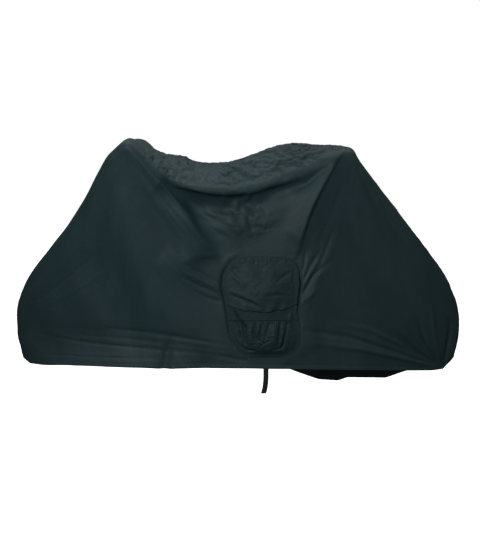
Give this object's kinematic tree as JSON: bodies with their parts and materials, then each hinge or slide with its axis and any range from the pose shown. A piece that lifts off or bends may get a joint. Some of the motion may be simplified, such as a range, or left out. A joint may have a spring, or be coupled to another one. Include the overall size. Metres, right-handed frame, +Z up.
{
  "type": "fitted bicycle cover with a storage pocket",
  "caption": "Fitted cloth cover for a bicycle, hollow and open below, draped in folds from handlebar and saddle, with a flapped storage pocket and a tie strap.",
  "frame": {"origin": "the point under the top of the cover, in its middle plane, where the saddle bears", "axes": "+X to the back of the bicycle, +Y away from the side with the pocket, +Z up"},
  "size_m": [1.8184, 0.5668, 1.0212],
  "materials": {
    "taffeta": "thin coated nylon taffeta, near black with a green-blue cast, satin sheen, fine plain weave, crinkled",
    "pocket_taffeta": "the same coated taffeta, doubled and stitched",
    "webbing": "matt ribbed polypropylene webbing, dark grey-green"
  },
  "bodies": {
    "root": {"side_near": "taffeta", "side_far": "taffeta", "pouch": "pocket_taffeta", "pouch_band": "pocket_taffeta", "pocket_flap": "pocket_taffeta", "strap": "webbing"}
  },
  "joints": []
}
